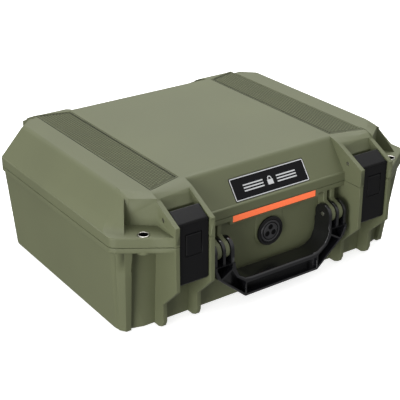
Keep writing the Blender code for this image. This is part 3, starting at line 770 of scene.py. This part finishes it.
def build_lid_foam():
    """Convoluted foam: rounded peaks towards the base."""
    lo, hi = box_mm("lid_foam")
    step, pitch, depth, margin = 4.2, 19.0, 13.0, 4
    width, length = hi.x - lo.x + 2 * margin, hi.y - lo.y + 2 * margin
    nx, ny = int(width / step), int(length / step)
    bm = bmesh.new()
    lower, upper = [], []
    for j in range(ny + 1):
        y = lo.y - margin + j * length / ny
        row_low, row_high = [], []
        for i in range(nx + 1):
            x = lo.x - margin + i * width / nx
            z = lo.z + 0.05 + depth * (0.5 + 0.5 * waves(x, y, pitch))
            row_low.append(bm.verts.new((x, y, z)))
            row_high.append(bm.verts.new((x, y, hi.z + 5)) if i in (0, nx) or j in (0, ny) else None)
        lower.append(row_low)
        upper.append(row_high)
    for j in range(ny):
        for i in range(nx):
            bm.faces.new((lower[j][i], lower[j][i + 1], lower[j + 1][i + 1], lower[j + 1][i]))
    rim_low, rim_high = edge_of(lower), edge_of(upper)
    for i in range(len(rim_low)):
        j = (i + 1) % len(rim_low)
        bm.faces.new((rim_low[i], rim_low[j], rim_high[j], rim_high[i]))
    bm.faces.new(rim_high)
    bmesh.ops.recalc_face_normals(bm, faces=bm.faces)
    obj = new_object("egg_crate_foam", from_cad("lid_foam"), 1)
    boolean(obj, bm, "INTERSECT")
    shaded(obj, 50)
    piece(obj, FOAM, "lid", ["lid_foam"])


def build_base_foam():
    for node, name, radius in (
        ("base_foam", "cut_out_foam", 1.6), ("base_foam_sheet", "foam_bottom_sheet", 1.2),
    ):
        obj = new_object(name, from_cad(node), 1)
        rounded(obj, radius, steps=3)
        piece(obj, FOAM, "base", [node])


def build_gasket():
    obj = new_object("rim_gasket", from_cad("lid_gasket"), 1)
    rounded(obj, 0.3)
    piece(obj, RUBBER, "lid", ["lid_gasket"])


# ---------------------------------------------------------------- stage, light and camera


def paper(name, albedo, glow):
    """Evenly lit studio paper, seen by the camera only."""
    made = bpy.data.materials.new(name)
    made.use_nodes = True
    shader = made.node_tree.nodes["Principled BSDF"]
    shader.inputs["Base Color"].default_value = (albedo, albedo, albedo, 1)
    shader.inputs["Roughness"].default_value = 0.9
    shader.inputs["Emission Color"].default_value = (1, 1, 1, 1)
    shader.inputs["Emission Strength"].default_value = glow
    return made


FLOOR_HALF = 9000
WALL_RADIUS = 8000
WALL_TOP = 9000


def build_stage():
    """White floor, and a round white wall far behind it."""
    bm = bmesh.new()
    bmesh.ops.create_grid(bm, x_segments=1, y_segments=1, size=FLOOR_HALF)
    floor = new_object("floor", bm)
    floor.data.materials.append(paper("floor_paper", 0.80, 0.70))
    ring = prism("Z", circle((0, 0), WALL_RADIUS, 48), -100, WALL_TOP)
    bmesh.ops.delete(ring, geom=[face for face in ring.faces if len(face.verts) > 4], context="FACES_ONLY")
    wall = new_object("wall", ring)
    wall.data.materials.append(paper("wall_paper", 0.0, 1.2))
    for obj in (floor, wall):
        obj.location.z = CAD_BOX[0][2] - 0.0002
        obj.visible_diffuse = False
        obj.visible_glossy = False
        obj.visible_shadow = False
    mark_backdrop(floor, wall)


def area_light(name, at, size, power):
    """Round softbox that points at the middle of the case."""
    lamp = bpy.data.lights.new(name, "AREA")
    lamp.shape = "DISK"
    lamp.size = size
    lamp.energy = power
    obj = bpy.data.objects.new(name, lamp)
    bpy.context.collection.objects.link(obj)
    obj.location = at
    obj.rotation_euler = (Vector((0, 0, 0.06)) - Vector(at)).to_track_quat("-Z", "Y").to_euler()


def build_camera():
    """Camera at the front left, looking down at the case."""
    data = bpy.data.cameras.new("camera")
    data.sensor_width = 36.0
    data.lens = 92.3
    data.shift_x, data.shift_y = -0.0166, -0.0223
    camera = bpy.data.objects.new("camera", data)
    bpy.context.collection.objects.link(camera)
    turn, lift, reach = math.radians(-35.09), math.radians(25.03), 1.1999
    back = Vector((math.sin(turn) * math.cos(lift), -math.cos(turn) * math.cos(lift), math.sin(lift)))
    camera.location = Vector((0, -0.0205, 0.0702)) + back * reach
    camera.rotation_euler = (-back).to_track_quat("-Z", "Y").to_euler()
    bpy.context.scene.camera = camera


def build_light():
    """Sky that is brighter overhead, a softbox above and another at the left."""
    world = bpy.data.worlds.new("studio")
    world.use_nodes = True
    nodes, links = world.node_tree.nodes, world.node_tree.links
    coords = nodes.new("ShaderNodeTexCoord")
    split = nodes.new("ShaderNodeSeparateXYZ")
    links.new(coords.outputs["Generated"], split.inputs["Vector"])
    tone = nodes.new("ShaderNodeMapRange")
    tone.interpolation_type = "SMOOTHSTEP"
    tone.inputs["From Min"].default_value = -0.4
    tone.inputs["From Max"].default_value = 0.7
    tone.inputs["To Min"].default_value = 0.25
    tone.inputs["To Max"].default_value = 0.85
    links.new(split.outputs["Z"], tone.inputs["Value"])
    links.new(tone.outputs["Result"], nodes["Background"].inputs["Strength"])
    nodes["Background"].inputs["Color"].default_value = (1, 1, 1, 1)
    bpy.context.scene.world = world
    area_light("top_box", (0.75, 0.95, 2.35), 1.8, 54)
    area_light("side_box", (-1.92, -0.95, 0.20), 1.4, 39)
    bpy.context.scene.view_settings.view_transform = "Standard"


build_camera()
build_light()
build_stage()
build_base()
build_lid()
build_treads()
build_plate()
build_strip()
build_handle()
build_vent_body()
build_vent_cap()
build_vent_inside()
build_base_foam()
build_lid_foam()
build_gasket()
for side, word in SIDES:
    build_latch(side, word)
    build_button(side, word)
    build_spring(side, word)
    build_pins(side, word)
    build_eyelets(side, word)

low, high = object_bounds()
